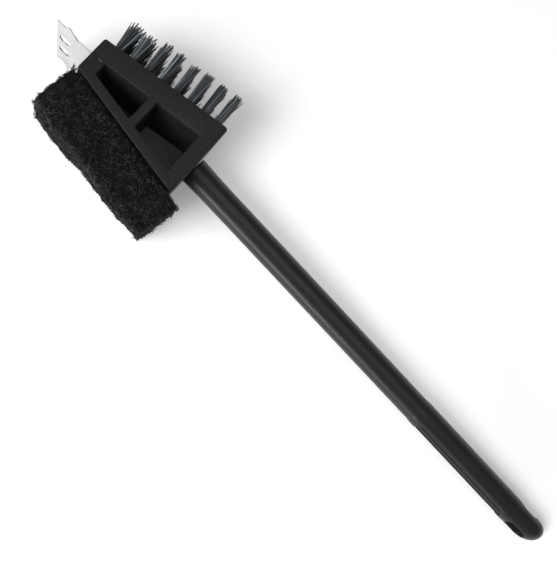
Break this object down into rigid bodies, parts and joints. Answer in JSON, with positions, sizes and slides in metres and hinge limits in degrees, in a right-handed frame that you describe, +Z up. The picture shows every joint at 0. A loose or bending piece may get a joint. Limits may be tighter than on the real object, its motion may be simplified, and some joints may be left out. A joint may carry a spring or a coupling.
{
  "type": "grill cleaning brush",
  "caption": "Grill cleaning brush: a plastic wedge head with stiff bristles, a scouring pad and a slotted steel scraper, on a long round handle with a hanging slot.",
  "frame": {"origin": "on the supporting surface, under the centre of the brush's bounding box, as it lies on its side", "axes": "+X along the handle towards its end, +Y towards the bristles, +Z up, out of the side of the head that its pockets open on"},
  "size_m": [0.459, 0.1082, 0.0725],
  "materials": {
    "head_plastic": "matt moulded black",
    "handle_plastic": "satin moulded black",
    "stainless_steel": "finely brushed",
    "bristle_nylon": "blue-grey, slightly glossy",
    "pad_fibre": "coarse black fibre",
    "hook_tape": "black woven tape"
  },
  "bodies": {
    "root": {"head_body": "head_plastic", "handle": "handle_plastic", "handle_pin": "stainless_steel", "scraper_blade": "stainless_steel", "pad_hook_strip": "hook_tape", "scouring_pad": "pad_fibre", "bristle_block_1": "bristle_nylon", "bristle_block_2": "bristle_nylon", "bristle_block_3": "bristle_nylon", "bristle_block_4": "bristle_nylon"}
  },
  "joints": []
}
